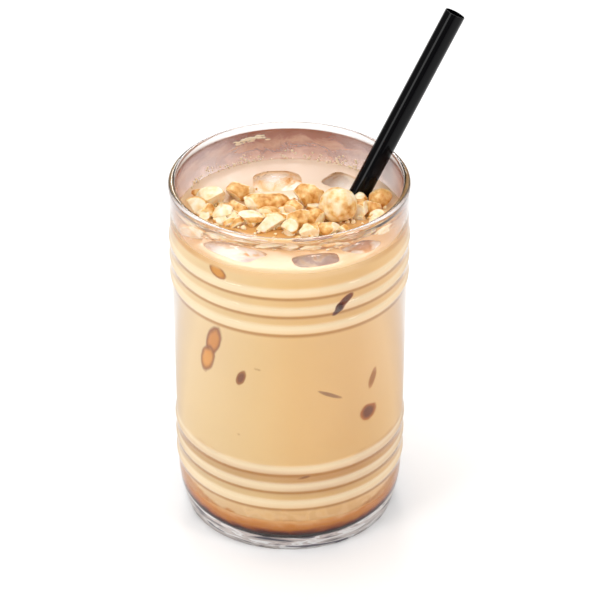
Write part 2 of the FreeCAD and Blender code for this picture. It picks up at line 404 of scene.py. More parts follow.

# %% [markdown]
# The drink. Milk coffee is opaque a few tenths of a millimetre in, so it is one closed body with
# a cream colour and a wet skin. It reaches just into the glass, so that no air shows between
# them. Its colour follows the side and the height: painted light makes it paler towards both
# sides, most at the left, where a soft box's reflection in the glass is painted; the hoops
# throw painted bright rings on it with a painted dark line under each; it is darker about the
# lower hoops; and syrup stains its lowest part. Where sunk ice leans on the glass the milk is
# thin, and a brown spot shows.

# %% Milk coffee
coffee_material, tree, out = new_material("milk coffee")
coords = add(tree, "ShaderNodeTexCoord").outputs["Object"]
split = add(tree, "ShaderNodeSeparateXYZ", Vector=coords)
height_share = add(tree, "ShaderNodeMapRange", Value=split.outputs["Z"],
                   From_Min=FLOOR, From_Max=LEVEL, To_Min=0.0, To_Max=1.0).outputs[0]
cloud = add(tree, "ShaderNodeTexNoise", Vector=coords, Scale=1 / (28 * MM), Detail=3.0,
            Roughness=0.5)
cloudy_height = add(tree, "ShaderNodeMath", {"operation": "MULTIPLY_ADD"},
                    _0=cloud.outputs["Fac"], _1=0.10, _2=height_share).outputs[0]
# painted light: paler towards both sides, most at the left, a painted reflection of a soft box in
# the glass
across = add(tree, "ShaderNodeMapRange", Value=split.outputs["X"], From_Min=-38 * MM,
             From_Max=38 * MM, To_Min=0.0, To_Max=1.0).outputs[0]
side_light_colour = ramp(tree, across, [
    (0.0, srgb("#EBD2A6")), (0.18, srgb("#E9CE9E")), (0.36, srgb("#E8C890")),
    (0.52, srgb("#E7C184")), (0.78, srgb("#E8BF82")), (1.0, srgb("#EFCB92"))])
height_tint = ramp(tree, cloudy_height, [
    (0.10, srgb("#F5E4D4")), (0.19, srgb("#FFFFFF")), (0.24, srgb("#F2F0ED")),
    (0.275, srgb("#E4D6C8")), (0.32, srgb("#DECAB4")), (0.345, srgb("#FFFFFF"))])
body_colour = add(tree, "ShaderNodeMix", {"data_type": "RGBA", "blend_type": "MULTIPLY"},
                  Factor=1.0, _6=side_light_colour, _7=height_tint).outputs[2]

# %% Rings that the hoops throw on the milk
# each hoop gathers light into a pale ring and leaves a thin dark line under it
# offset above the hoop's foot, half width, kind
HOOP_LINES = [(1.45 * MM, 1.9 * MM, "light"), (-1.0 * MM, 1.2 * MM, "dark")]
ring_light = 0.0
ring_dark = 0.0
for rib in RIBS:
    for offset, width, kind in HOOP_LINES:
        away = add(tree, "ShaderNodeMath", {"operation": "SUBTRACT"},
                   _0=split.outputs["Z"], _1=rib + offset).outputs[0]
        away = add(tree, "ShaderNodeMath", {"operation": "ABSOLUTE"}, _0=away).outputs[0]
        near = add(tree, "ShaderNodeMapRange", {"interpolation_type": "SMOOTHSTEP"}, Value=away,
                   From_Min=0.0, From_Max=width, To_Min=1.0, To_Max=0.0).outputs[0]
        if kind == "light":
            ring_light = add(tree, "ShaderNodeMath", {"operation": "ADD"},
                             _0=ring_light, _1=near).outputs[0]
        else:
            ring_dark = add(tree, "ShaderNodeMath", {"operation": "ADD"},
                            _0=ring_dark, _1=near).outputs[0]
half_light = add(tree, "ShaderNodeMath", {"operation": "MULTIPLY"}, _0=ring_light, _1=0.74)
ringed = add(tree, "ShaderNodeMix", {"data_type": "RGBA"}, Factor=half_light.outputs[0],
             _6=body_colour, _7=srgb("#FFF0D2")).outputs[2]
half_dark = add(tree, "ShaderNodeMath", {"operation": "MULTIPLY"}, _0=ring_dark, _1=0.8)
ringed = add(tree, "ShaderNodeMix", {"data_type": "RGBA"}, Factor=half_dark.outputs[0],
             _6=ringed, _7=srgb("#B27420")).outputs[2]

# %% Brown spots
# bearing from +X in degrees, height, size across, size up, lean, edge, core
SPOTS = [
    (-126.9, 108.6, 6.8, 4.6, 25.0, "#A05A14", "#D48F2C"),
    (-130.6, 81.2, 5.6, 13.5, 20.0, "#8A4400", "#D0862A"),
    (-135.0, 73.2, 5.8, 11.6, 18.0, "#945008", "#E09A3A"),
    (-114.7, 70.1, 3.0, 6.6, 22.0, "#A86A2C", "#743404"),
    (-61.6, 99.6, 2.9, 7.0, 50.0, "#863200", "#561800"),
    (-65.4, 97.2, 2.5, 5.8, 42.0, "#6A2400", "#3A0E00"),
    (-43.8, 64.7, 3.0, 8.0, 18.0, "#C98C4C", "#A8681C"),
    (-46.1, 51.7, 7.4, 6.6, 8.0, "#B8660C", "#702C00"),
    (-69.4, 63.9, 9.4, 1.5, 29.0, "#B98A5C", "#9C7048"),
    (-82.1, 31.8, 5.0, 1.6, -14.0, "#BE864A", "#96602C"),
]
spotted = ringed
wobble = add(tree, "ShaderNodeTexNoise", Vector=coords, Scale=1 / (3.5 * MM), Detail=2.0)
for bearing, height, across, up, lean, edge_colour, core_colour in SPOTS:
    angle = math.radians(bearing)
    z = height * MM
    radius = inner_radius(z)
    place = Vector((radius * math.cos(angle), radius * math.sin(angle), z))
    local = add(tree, "ShaderNodeMapping", {"vector_type": "TEXTURE"}, Vector=coords,
                Location=place, Rotation=(0.0, math.radians(lean), angle + math.pi / 2),
                Scale=(across * 0.62 * MM, 8 * MM, up * 0.62 * MM))
    ball = add(tree, "ShaderNodeTexGradient", {"gradient_type": "SPHERICAL"},
               Vector=local.outputs[0])
    soft = add(tree, "ShaderNodeMath", {"operation": "MULTIPLY_ADD"},
               _0=wobble.outputs["Fac"], _1=0.35, _2=ball.outputs["Fac"]).outputs[0]
    inside = add(tree, "ShaderNodeMapRange", {"interpolation_type": "SMOOTHSTEP"}, Value=soft,
                 From_Min=0.25, From_Max=0.50, To_Min=0.0, To_Max=0.95).outputs[0]
    core = add(tree, "ShaderNodeMapRange", {"interpolation_type": "SMOOTHSTEP"}, Value=soft,
               From_Min=0.40, From_Max=0.80, To_Min=0.0, To_Max=1.0).outputs[0]
    spot_colour = add(tree, "ShaderNodeMix", {"data_type": "RGBA"}, Factor=core,
                      _6=srgb(edge_colour), _7=srgb(core_colour)).outputs[2]
    spotted = add(tree, "ShaderNodeMix", {"data_type": "RGBA"}, Factor=inside,
                  _6=spotted, _7=spot_colour).outputs[2]

# %% Stain above the syrup
# syrup stains the lowest milk, and higher at the sides than at the front
stain_rise = add(tree, "ShaderNodeMapRange", Value=split.outputs["Y"], From_Min=-33 * MM,
                 From_Max=-12 * MM, To_Min=0.3 * MM, To_Max=5.5 * MM).outputs[0]
stain_cloud = add(tree, "ShaderNodeTexNoise", Vector=coords, Scale=1 / (7 * MM), Detail=4.0)
stain_cloud = add(tree, "ShaderNodeMath", {"operation": "MULTIPLY_ADD"},
                  _0=stain_cloud.outputs["Fac"], _1=6 * MM, _2=split.outputs["Z"]).outputs[0]
stain_edge = add(tree, "ShaderNodeMath", {"operation": "SUBTRACT"}, _0=stain_cloud,
                 _1=stain_rise).outputs[0]
stain = add(tree, "ShaderNodeMapRange", {"interpolation_type": "SMOOTHSTEP"}, Value=stain_edge,
            From_Min=SYRUP_TOP + 1.2 * MM, From_Max=SYRUP_TOP + 3.2 * MM, To_Min=0.9,
            To_Max=0.0).outputs[0]
spotted = add(tree, "ShaderNodeMix", {"data_type": "RGBA"}, Factor=stain,
              _6=spotted, _7=srgb("#C47C14")).outputs[2]

# %% Open surface
# painted shade and reflections of the peanuts make the surface darker and more golden where
# they lie; the paler grey cream at the back is a painted reflection of the back wall
top_share = add(tree, "ShaderNodeMapRange", {"interpolation_type": "SMOOTHSTEP"},
                Value=split.outputs["Z"], From_Min=LEVEL - 2.2 * MM, From_Max=LEVEL - 0.3 * MM,
                To_Min=0.0, To_Max=1.0).outputs[0]
fore_and_aft = add(tree, "ShaderNodeMapRange", Value=split.outputs["Y"], From_Min=-36 * MM,
                   From_Max=36 * MM, To_Min=0.0, To_Max=1.0).outputs[0]
# painted shade of the peanuts at the front, painted reflection of the back wall at the back
top_shade_colour = ramp(tree, fore_and_aft, [
    (0.05, srgb("#EBC690")), (0.20, srgb("#DAA868")), (0.36, srgb("#D29A58")),
    (0.50, srgb("#DDB27C")), (0.62, srgb("#E8C79C")), (0.85, srgb("#E9D2BC"))])
spotted = add(tree, "ShaderNodeMix", {"data_type": "RGBA"}, Factor=top_share,
              _6=spotted, _7=top_shade_colour).outputs[2]

# %% Milk under the ice
# thin and wet: amber at the waterline; below, the colour turns paler with depth, partly the
# cloudy ice and partly painted light that lifts the shade deep in the pocket
flat = add(tree, "ShaderNodeVectorMath", {"operation": "MULTIPLY"}, _0=coords,
           _1=(1.0, 1.0, 0.0)).outputs[0]
from_axis = add(tree, "ShaderNodeVectorMath", {"operation": "LENGTH"}, _0=flat).outputs["Value"]
inward = add(tree, "ShaderNodeMapRange", Value=from_axis, From_Min=36.9 * MM,
             From_Max=36.2 * MM, To_Min=0.0, To_Max=1.0).outputs[0]
sunk = add(tree, "ShaderNodeMapRange", Value=split.outputs["Z"], From_Min=LEVEL - 0.2 * MM,
           From_Max=LEVEL - 0.9 * MM, To_Min=0.0, To_Max=1.0).outputs[0]
# painted light: deeper in the pocket the colour is made paler
deep = add(tree, "ShaderNodeMapRange", Value=split.outputs["Z"], From_Min=LEVEL - 2.2 * MM,
           From_Max=LEVEL - 4.4 * MM, To_Min=-0.20, To_Max=0.12).outputs[0]
in_pocket = add(tree, "ShaderNodeMath", {"operation": "MULTIPLY"}, _0=inward, _1=sunk).outputs[0]
patches = add(tree, "ShaderNodeTexNoise", Vector=coords, Scale=1 / (6 * MM), Detail=2.0,
              Distortion=1.0)
pale = add(tree, "ShaderNodeMath", {"operation": "ADD"}, _0=patches.outputs["Fac"],
           _1=deep).outputs[0]
amber = ramp(tree, pale, [
    (0.28, srgb("#C06008")), (0.40, srgb("#E09238")), (0.51, srgb("#F4D2A0")),
    (0.64, srgb("#FFFAF0"))])
# at the front, dark amber patches beside two lumps: partly brown milk, partly painted shade
# in the hollows there
frontward = add(tree, "ShaderNodeMapRange", {"interpolation_type": "SMOOTHSTEP"},
                Value=split.outputs["Y"], From_Min=-14 * MM, From_Max=-26 * MM, To_Min=0.0,
                To_Max=0.9).outputs[0]
front_brown_and_shade = add(tree, "ShaderNodeMapRange", {"interpolation_type": "SMOOTHSTEP"},
              Value=patches.outputs["Fac"], From_Min=0.42, From_Max=0.56, To_Min=0.0,
              To_Max=1.0).outputs[0]
front_brown_and_shade = add(tree, "ShaderNodeMath", {"operation": "MULTIPLY"}, _0=front_brown_and_shade,
              _1=frontward).outputs[0]
# partly painted shade: dark amber in the hollows beside the front lumps
amber = add(tree, "ShaderNodeMix", {"data_type": "RGBA"}, Factor=front_brown_and_shade,
            _6=amber, _7=srgb("#A04A08")).outputs[2]
coffee_colour = add(tree, "ShaderNodeMix", {"data_type": "RGBA"}, Factor=in_pocket,
                    _6=spotted, _7=amber).outputs[2]
coffee_shader = add(tree, "ShaderNodeBsdfPrincipled", Base_Color=coffee_colour, Roughness=0.22,
                    IOR=1.35)
tree.links.new(coffee_shader.outputs[0], out.inputs["Surface"])
print(coffee_material.name, len(tree.nodes), "nodes")

# %% [markdown]
# Dark sugar syrup has settled on the floor of the glass and stains the milk above it in soft
# clouds. It is a second body whose colour runs from dark brown at the floor, through amber,
# to milk at its top, with clouds of noise that break the edge.

# %% Syrup
syrup_material, tree, out = new_material("dark sugar syrup")
coords = add(tree, "ShaderNodeTexCoord").outputs["Object"]
split = add(tree, "ShaderNodeSeparateXYZ", Vector=coords)
syrup_share = add(tree, "ShaderNodeMapRange", Value=split.outputs["Z"], From_Min=FLOOR,
                  From_Max=SYRUP_TOP, To_Min=0.0, To_Max=0.75).outputs[0]
streaks = add(tree, "ShaderNodeMapping", Vector=coords, Scale=(1.0, 1.0, 2.4))
swirl = add(tree, "ShaderNodeTexNoise", Vector=streaks.outputs[0], Scale=1 / (9 * MM), Detail=4.0,
            Distortion=1.2)
syrup_mix = add(tree, "ShaderNodeMath", {"operation": "MULTIPLY_ADD"}, _0=swirl.outputs["Fac"],
                _1=0.3, _2=syrup_share).outputs[0]
# the stain climbs higher at the sides than at the front
climb = add(tree, "ShaderNodeMapRange", Value=split.outputs["Y"], From_Min=-32 * MM,
            From_Max=-10 * MM, To_Min=0.0, To_Max=0.2).outputs[0]
syrup_mix = add(tree, "ShaderNodeMath", {"operation": "SUBTRACT"}, _0=syrup_mix,
                _1=climb).outputs[0]
syrup_colour = ramp(tree, syrup_mix, [
    (0.38, srgb("#561A00")), (0.44, srgb("#863400")), (0.51, srgb("#AE5600")),
    (0.60, srgb("#C47400")), (0.72, srgb("#CC7E1C")), (0.84, srgb("#D8A060")),
    (0.94, srgb("#E3B57D"))])
syrup_shader = add(tree, "ShaderNodeBsdfPrincipled", Base_Color=syrup_colour, Roughness=0.1,
                   IOR=1.38)
tree.links.new(syrup_shader.outputs[0], out.inputs["Surface"])
print(syrup_material.name, len(tree.nodes), "nodes")

INTO_WALL = 0.06 * MM


def clip_outline(outline, low=None, high=None):
    """The stretch of a rising outline between two heights, in its own order."""
    near = 0.01 * MM
    points = []
    for (r0, z0), (r1, z1) in zip(outline, outline[1:] + [(0.0, math.inf)]):
        above_low = low is None or z0 > low + near
        below_high = high is None or z0 < high - near
        if above_low and below_high:
            points.append((r0, z0))
        for level in (low, high):
            if level is not None and z0 < level <= z1 < math.inf:
                points.append((r0 + (r1 - r0) * (level - z0) / (z1 - z0), level))
    return points


full_outline = cavity_outline(LEVEL, INTO_WALL, 28)
syrup_outline = clip_outline(full_outline, high=SYRUP_TOP)
syrup_outline.append((0.0, SYRUP_TOP))
piece(spin_outline(syrup_outline, GLASS_STEPS), "syrup_layer", syrup_material,
      ["syrup"])

# %% [markdown]
# Ice lumps. Half-melted cubes have no flat faces left, so each one starts as a finely divided
# cube that is drawn in to a rounded block, and a little noise melts it unevenly. The same shape,
# a hair smaller, is cut out of the coffee, so that the eye looks through the ice into a pocket
# in the milk. Here a boolean modifier is the right tool: the pockets are where two bodies meet.

# %% Ice shapes
ICE_NODES = ["ice_back", "ice_back_right", "ice_front_left", "ice_front", "ice_front_right"]
ICE_TURNS = [4.0, -38.0, -43.0, 14.0, 52.0]
ICE_SIZES = [(19.0, 15.0), (13.5, 12.5), (23.0, 16.5), (18.0, 13.0), (13.5, 13.0)]
ICE_TALL = 19.0 * MM


def melted_block(node, turn, size, grow):
    """A rounded block in the place of a packed ice lump, grown by a distance."""
    low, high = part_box(node)
    middle = (low + high) / 2
    half = Vector((size[0] * MM / 2, size[1] * MM / 2, ICE_TALL / 2))
    bm = bmesh.new()
    bmesh.ops.create_cube(bm, size=2.0)
    bmesh.ops.subdivide_edges(bm, edges=bm.edges[:], cuts=17, use_grid_fill=True)
    spin = Matrix.Rotation(math.radians(turn), 4, "Z")
    for v in bm.verts:
        power = 3.4
        reach = sum(abs(c) ** power for c in v.co) ** (1 / power)
        block = v.co / reach
        melt = 1.0 + 0.03 * noise.noise(block * 1.6 + Vector((middle.x / MM, middle.y / MM, 0)))
        place = Vector(block[i] * (half[i] * melt + grow) for i in range(3))
        # what stands out of the drink has melted to a low dome
        above = middle.z + place.z - LEVEL
        if above > 0:
            out_by = max(abs(block.x), abs(block.y), math.hypot(block.x, block.y) * 0.85)
            place.z -= above * 0.8 * min(out_by, 1.0) ** 2
        v.co = middle + spin @ place
    return bm


# %% Pockets cut out of the coffee
POCKET_DEPTH = 4.5 * MM


def surface_height(x, y):
    """Rise of the drink's surface: it climbs the glass and dips and swells a little."""
    r = math.hypot(x, y)
    wall_rise = 0.9 * MM * math.exp(-(inner_radius(LEVEL) - r) / (1.3 * MM))
    swell = 0.22 * MM * noise.noise(Vector((x, y, 0)) / (9 * MM))
    return wall_rise + swell


coffee_outline = clip_outline(full_outline, low=SYRUP_TOP)
first_radius = coffee_outline[0][0]
coffee_outline = [(0.0, SYRUP_TOP), (first_radius * 0.5, SYRUP_TOP)] + coffee_outline
TOP_RINGS = 70
top_radius = inner_radius(LEVEL) + INTO_WALL
for i in range(TOP_RINGS):
    coffee_outline.append((top_radius * (1 - (i + 1) / TOP_RINGS), LEVEL))
coffee_bm = spin_outline(coffee_outline, GLASS_STEPS)
for v in coffee_bm.verts:
    if abs(v.co.z - LEVEL) < 1e-6:
        v.co.z += surface_height(v.co.x, v.co.y)
coffee_body = piece(coffee_bm, "milk_coffee", coffee_material, ["coffee"])

for node, turn, size in zip(ICE_NODES, ICE_TURNS, ICE_SIZES):
    cutter_mesh = bpy.data.meshes.new("pocket")
    cutter_bm = melted_block(node, turn, size, -0.08 * MM)
    for v in cutter_bm.verts:
        below = LEVEL - POCKET_DEPTH - v.co.z
        if below > 0:
            v.co.z += below * 0.85
    cutter_bm.to_mesh(cutter_mesh)
    cutter_bm.free()
    cutter = bpy.data.objects.new("pocket", cutter_mesh)
    scene.collection.objects.link(cutter)
    cut = coffee_body.modifiers.new("pocket", "BOOLEAN")
    cut.operation = "DIFFERENCE"
    cut.solver = "EXACT"
    cut.object = cutter
    view_layer = bpy.context.view_layer
    view_layer.update()
    cut_mesh = bpy.data.meshes.new_from_object(
        coffee_body.evaluated_get(bpy.context.evaluated_depsgraph_get()))
    coffee_body.modifiers.clear()
    coffee_body.data = cut_mesh
    bpy.data.objects.remove(cutter)
for polygon in coffee_body.data.polygons:
    polygon.use_smooth = True
coffee_body.data.set_sharp_from_angle(angle=math.radians(40))
print("coffee with pockets:", len(coffee_body.data.polygons), "faces")

# %% [markdown]
# The ice itself: clear and wet. Ice bends light less than glass does. Coffee runs over it, so a
# glancing look shows amber, and fine waves left by melting break up what is seen through it.

# %% Ice
ice_material, tree, out = new_material("melting clear ice")
coords = add(tree, "ShaderNodeTexCoord").outputs["Object"]
melt_waves = add(tree, "ShaderNodeTexNoise", Vector=coords, Scale=1 / (4.5 * MM), Detail=2.0)
melt_bump = add(tree, "ShaderNodeBump", Height=melt_waves.outputs["Fac"], Strength=0.6,
                Distance=1.0 * MM)
edge_on = add(tree, "ShaderNodeLayerWeight", Blend=0.5)
ice_tint = ramp(tree, edge_on.outputs["Facing"], [
    (0.40, srgb("#FFFFFF")), (0.62, srgb("#EFD0A4")), (0.78, srgb("#B0702F"))])
ice_shader = add(tree, "ShaderNodeBsdfPrincipled", Base_Color=ice_tint, Roughness=0.03,
                 IOR=1.31, Specular_IOR_Level=0.35, Transmission_Weight=1.0,
                 Normal=melt_bump.outputs[0])
ice_clear = add(tree, "ShaderNodeBsdfTransparent", Color=srgb("#FFFFFF"))
ice_rays = add(tree, "ShaderNodeLightPath")
ice_mix = add(tree, "ShaderNodeMixShader", Fac=ice_rays.outputs["Is Shadow Ray"],
              _1=ice_shader.outputs[0], _2=ice_clear.outputs[0])
tree.links.new(ice_mix.outputs[0], out.inputs["Surface"])
print(ice_material.name, len(tree.nodes), "nodes")
for node, turn, size in zip(ICE_NODES, ICE_TURNS, ICE_SIZES):
    piece(melted_block(node, turn, size, 0.0), node + "_lump", ice_material, [node])

# %% [markdown]
# Broken roasted peanuts. A peanut half is round outside, golden where it was roasted, and breaks
# into flat pale faces. So each piece starts as a ball and is broken by a few planes: a bisect
# scores the line, and what lies beyond it is pressed flat. Then it is smoothed a little and
# stretched. The pressed faces are remembered in an attribute, which the material turns into
# pale cream.

# %% Roasted peanut
nut_material, tree, out = new_material("roasted peanut, broken")
coords = add(tree, "ShaderNodeTexCoord").outputs["Object"]
skin = add(tree, "ShaderNodeAttribute", {"attribute_name": "skin"}).outputs["Fac"]
mottle = add(tree, "ShaderNodeTexNoise", Vector=coords, Scale=1 / (2.2 * MM), Detail=4.0)
grain = add(tree, "ShaderNodeTexNoise", Vector=coords, Scale=1 / (0.5 * MM), Detail=3.0)
toasted = add(tree, "ShaderNodeMath", {"operation": "MULTIPLY_ADD"}, _0=mottle.outputs["Fac"],
              _1=1.3, _2=-0.42).outputs[0]
roast = add(tree, "ShaderNodeMath", {"operation": "MULTIPLY_ADD"}, _0=skin, _1=0.42,
            _2=toasted).outputs[0]
nut_colour = ramp(tree, roast, [
    (0.0, srgb("#FFF4DE")), (0.22, srgb("#FCE7C2")), (0.45, srgb("#F6D49A")),
    (0.62, srgb("#EAB76E")), (0.80, srgb("#D08E40")), (1.0, srgb("#B06C24"))])
nut_bump = add(tree, "ShaderNodeBump", Height=grain.outputs["Fac"], Strength=0.5,
               Distance=0.25 * MM)
nut_shader = add(tree, "ShaderNodeBsdfPrincipled", Base_Color=nut_colour, Roughness=0.42,
                 IOR=1.45, Subsurface_Weight=0.25, Subsurface_Radius=(1.0, 0.5, 0.2),
                 Subsurface_Scale=1.2 * MM, Normal=nut_bump.outputs[0])
tree.links.new(nut_shader.outputs[0], out.inputs["Surface"])
print(nut_material.name, len(tree.nodes), "nodes")


def broken_piece(target, rng, place, size, turn, tip, breaks, fineness=3):
    """One broken nut piece, joined into the target bmesh."""
    bm = bmesh.new()
    layer = bm.verts.layers.float.new("skin")
    bmesh.ops.create_icosphere(bm, subdivisions=fineness, radius=1.0)
    for v in bm.verts:
        v[layer] = 1.0
    for _ in range(breaks):
        way = Vector((rng.uniform(-1, 1), rng.uniform(-1, 1), rng.uniform(-0.5, 1.0))).normalized()
        depth = rng.uniform(0.50, 0.76)
        bmesh.ops.bisect_plane(bm, geom=bm.verts[:] + bm.edges[:] + bm.faces[:],
                               plane_co=way * depth, plane_no=way, dist=1e-5)
        for v in bm.verts:
            beyond = v.co.dot(way) - depth
            if beyond > -1e-5:
                v.co -= way * max(beyond, 0.0)
                v[layer] = 0.0
    bmesh.ops.remove_doubles(bm, verts=bm.verts[:], dist=0.001)
    for _ in range(3):
        bmesh.ops.smooth_vert(bm, verts=bm.verts[:], factor=0.4, use_axis_x=True,
                              use_axis_y=True, use_axis_z=True)
    shape = Matrix.Diagonal((size[0] / 2 * MM, size[1] / 2 * MM, size[2] / 2 * MM, 1.0))
    pose = (Matrix.Translation(place) @ Matrix.Rotation(math.radians(turn), 4, "Z")
            @ Matrix.Rotation(math.radians(tip[0]), 4, "X")
            @ Matrix.Rotation(math.radians(tip[1]), 4, "Y") @ shape)
    offset = Vector((rng.uniform(0, 50), rng.uniform(0, 50), 0))
    for v in bm.verts:
        lumps = 0.10 * noise.noise(v.co * 1.3 + offset) + 0.03 * noise.noise(v.co * 5 + offset)
        v.co *= 1.0 + lumps
    bmesh.ops.transform(bm, matrix=pose, verts=bm.verts[:])
    mesh = bpy.data.meshes.new("nut")
    bm.to_mesh(mesh)
    bm.free()
    target.from_mesh(mesh)
    bpy.data.meshes.remove(mesh)


# %% Chopped peanuts on the drink
# x, y, length, width, height, turn, tip about X, tip about Y, number of breaks
NUTS = [
    (-31.2, 3.6, 7.6, 6.4, 5.4, 25, 10, 15, 3),
    (-26.6, 8.6, 9.6, 8.2, 6.6, -20, 0, -12, 3),
    (-21.8, -0.6, 7.4, 5.4, 5.0, 18, 12, 0, 5),
    (-16.2, 12.9, 10.0, 7.4, 6.4, 35, -8, 10, 4),
    (-17.2, 2.8, 6.4, 5.2, 4.6, -30, 10, 0, 3),
    (-8.3, 5.4, 15.0, 7.2, 6.2, 8, 0, 0, 4),
    (-12.9, -4.0, 7.8, 5.6, 5.0, -5, 16, 0, 5),
    (-6.8, -1.0, 7.4, 4.4, 4.4, 10, 0, 8, 3),
    (-6.0, -7.6, 10.4, 5.8, 5.4, 24, 14, -6, 5),
    (6.7, 9.6, 9.4, 7.8, 7.6, -8, 8, 0, 5),
    (1.6, 2.6, 6.8, 5.6, 4.8, 35, 0, 8, 3),
    (2.9, -5.2, 9.6, 6.8, 6.6, 38, 10, -10, 5),
    (0.2, -10.2, 6.4, 5.2, 5.0, 60, 0, 12, 4),
    (8.8, -5.4, 5.6, 5.4, 6.4, 5, 0, 0, 4),
    (7.0, -12.2, 7.0, 4.6, 4.2, -12, 8, 0, 5),
    (13.2, -10.8, 8.0, 5.0, 4.2, 6, 8, 0, 5),
    (22.9, 6.9, 6.0, 5.4, 5.4, 20, 0, 10, 4),
    (23.8, 0.4, 6.8, 6.4, 5.6, 50, 0, -10, 3),
    (27.6, 2.6, 6.4, 5.4, 5.0, -35, 6, 0, 3),
    (30.4, 8.6, 7.4, 6.2, 5.4, 20, 0, -8, 3),
    (29.6, -2.0, 5.4, 4.0, 3.8, 10, 0, 0, 4),
    (-31.4, -10.6, 7.6, 6.0, 5.4, 15, 0, 6, 4),
    (-29.6, 12.2, 6.4, 5.0, 4.0, -30, 0, 0, 4),
    (-27.4, 1.6, 5.0, 4.4, 4.0, 50, 0, 0, 3),
]
rng = random.Random(7)
nuts_bm = bmesh.new()
nuts_bm.verts.layers.float.new("skin")
LARGER = 1.16
FILLERS = 64
KERNEL_ROOM = 7.0
for x, y, length, width, tall, turn, tip_x, tip_y, breaks in NUTS:
    place = Vector((x * MM, y * MM, LEVEL + tall * MM * 0.36))
    size = (length * LARGER, width * LARGER, tall * LARGER)
    broken_piece(nuts_bm, rng, place, size, turn, (tip_x, tip_y), breaks, 4)
for _ in range(FILLERS):
    share = rng.uniform(-1, 1)
    x = share * 30.0
    y = 3.0 - 5.0 * math.sqrt(1 - share * share) + rng.gauss(0, 5.0)
    size = rng.uniform(3.4, 5.2)
    if math.hypot(x, y) < 33.0 and abs(x - 16.2) + abs(y + 0.9) > KERNEL_ROOM:
        place = Vector((x * MM, y * MM, LEVEL + 0.5 * MM))
        broken_piece(nuts_bm, rng, place, (size * 1.25, size, size * 0.9), rng.uniform(0, 180),
                     (rng.uniform(-15, 15), rng.uniform(-15, 15)), 4, 3)
piece(nuts_bm, "chopped_peanuts", nut_material, ["chopped_nuts"], sharp=50)

# %% [markdown]
# Crumbs fill the gaps between the pieces, wet and darker. They are made the same way, smaller
# and with fewer faces, because there are hundreds of them.

# %% Peanut crumbs
crumb_bm = bmesh.new()
crumb_bm.verts.layers.float.new("skin")
CRUMBS = 340
rng = random.Random(11)
for _ in range(CRUMBS):
    nut = rng.choice(NUTS)
    x = nut[0] + rng.gauss(0, 4.2)
    y = nut[1] + rng.gauss(0, 3.0)
    if math.hypot(x, y) > 35.5:
        continue
    size = rng.uniform(0.9, 2.9)
    place = Vector((x * MM, y * MM, LEVEL + 0.15 * size * MM))
    broken_piece(crumb_bm, rng, place, (size * 1.3, size, size * 0.9), rng.uniform(0, 180),
                 (rng.uniform(-20, 20), 0), 2, 1)
piece(crumb_bm, "peanut_crumbs", nut_material, smooth=True)

# %% [markdown]
# One kernel is whole: round, golden and lumpy, with a mottled skin that is painted paler on top,
# a painted highlight. A ball whose points are pushed in and out by two sizes of noise gives the
# lumps.

# %% Peanut kernel
low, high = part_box("peanut_kernel")
kernel_place = (low + high) / 2
kernel_half = (high - low) / 2
print("kernel at", [round(c, 4) for c in kernel_place])
kernel_bm = bmesh.new()
skin_and_highlight_layer = kernel_bm.verts.layers.float.new("skin")
bmesh.ops.create_icosphere(kernel_bm, subdivisions=5, radius=1.0)
for v in kernel_bm.verts:
    p = v.co.copy()
    lumps = 0.09 * noise.noise(p * 1.7 + Vector((3, 1, 7))) + 0.045 * noise.noise(p * 4.2)
    # painted highlight: the skin value falls towards the top, so the top is paler
    v[skin_and_highlight_layer] = 0.62 + 0.7 * noise.noise(p * 1.9 + Vector((9, 2, 4))) - 0.25 * max(p.z, 0)
    v.co = p * (0.96 + lumps)
    v.co = Vector((v.co.x * kernel_half.x, v.co.y * kernel_half.y, v.co.z * kernel_half.z))
    v.co += kernel_place
piece(kernel_bm, "peanut_kernel_whole", nut_material, ["peanut_kernel"])

# %% [markdown]
# A straight black drinking straw, extruded polypropylene: deep black with a glossy skin, open at
# both ends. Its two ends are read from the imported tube, whose vertices all lie on its end rings.

# %% Straw
straw_material, tree, out = new_material("black polypropylene, extruded")
coords = add(tree, "ShaderNodeTexCoord").outputs["Object"]
draw_marks = add(tree, "ShaderNodeTexNoise", Vector=coords, Scale=1 / (6 * MM), Detail=2.0)
straw_rough = add(tree, "ShaderNodeMapRange", Value=draw_marks.outputs["Fac"], From_Min=0.3,
                  From_Max=0.7, To_Min=0.05, To_Max=0.11).outputs[0]
straw_shader = add(tree, "ShaderNodeBsdfPrincipled", Base_Color=srgb("#050507"),
                   Roughness=straw_rough, IOR=1.49, Specular_IOR_Level=0.17)
tree.links.new(straw_shader.outputs[0], out.inputs["Surface"])
print(straw_material.name, len(tree.nodes), "nodes")

straw_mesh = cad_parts["straw"].data
straw_points = [v.co.copy() for v in straw_mesh.vertices]
straw_low, straw_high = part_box("straw")
middle_z = (straw_low.z + straw_high.z) / 2
lower_ring = [p for p in straw_points if p.z < middle_z]
upper_ring = [p for p in straw_points if p.z >= middle_z]
straw_foot = sum(lower_ring, Vector()) / len(lower_ring)
straw_top = sum(upper_ring, Vector()) / len(upper_ring)
straw_way = (straw_top - straw_foot).normalized()
STRAW_RADIUS = 3.5 * MM
STRAW_WALL = 0.3 * MM
STRAW_EDGE = 0.08 * MM
straw_long = (straw_top - straw_foot).length
print("straw", [round(v, 4) for v in straw_foot], [round(v, 4) for v in straw_top], straw_long)
inner = STRAW_RADIUS - STRAW_WALL
tube = [(inner, STRAW_EDGE), (inner + STRAW_EDGE, 0.0), (STRAW_RADIUS - STRAW_EDGE, 0.0),
        (STRAW_RADIUS, STRAW_EDGE), (STRAW_RADIUS, straw_long - STRAW_EDGE),
        (STRAW_RADIUS - STRAW_EDGE, straw_long), (inner + STRAW_EDGE, straw_long),
        (inner, straw_long - STRAW_EDGE), (inner, STRAW_EDGE)]
straw_bm = spin_outline(tube, 72)
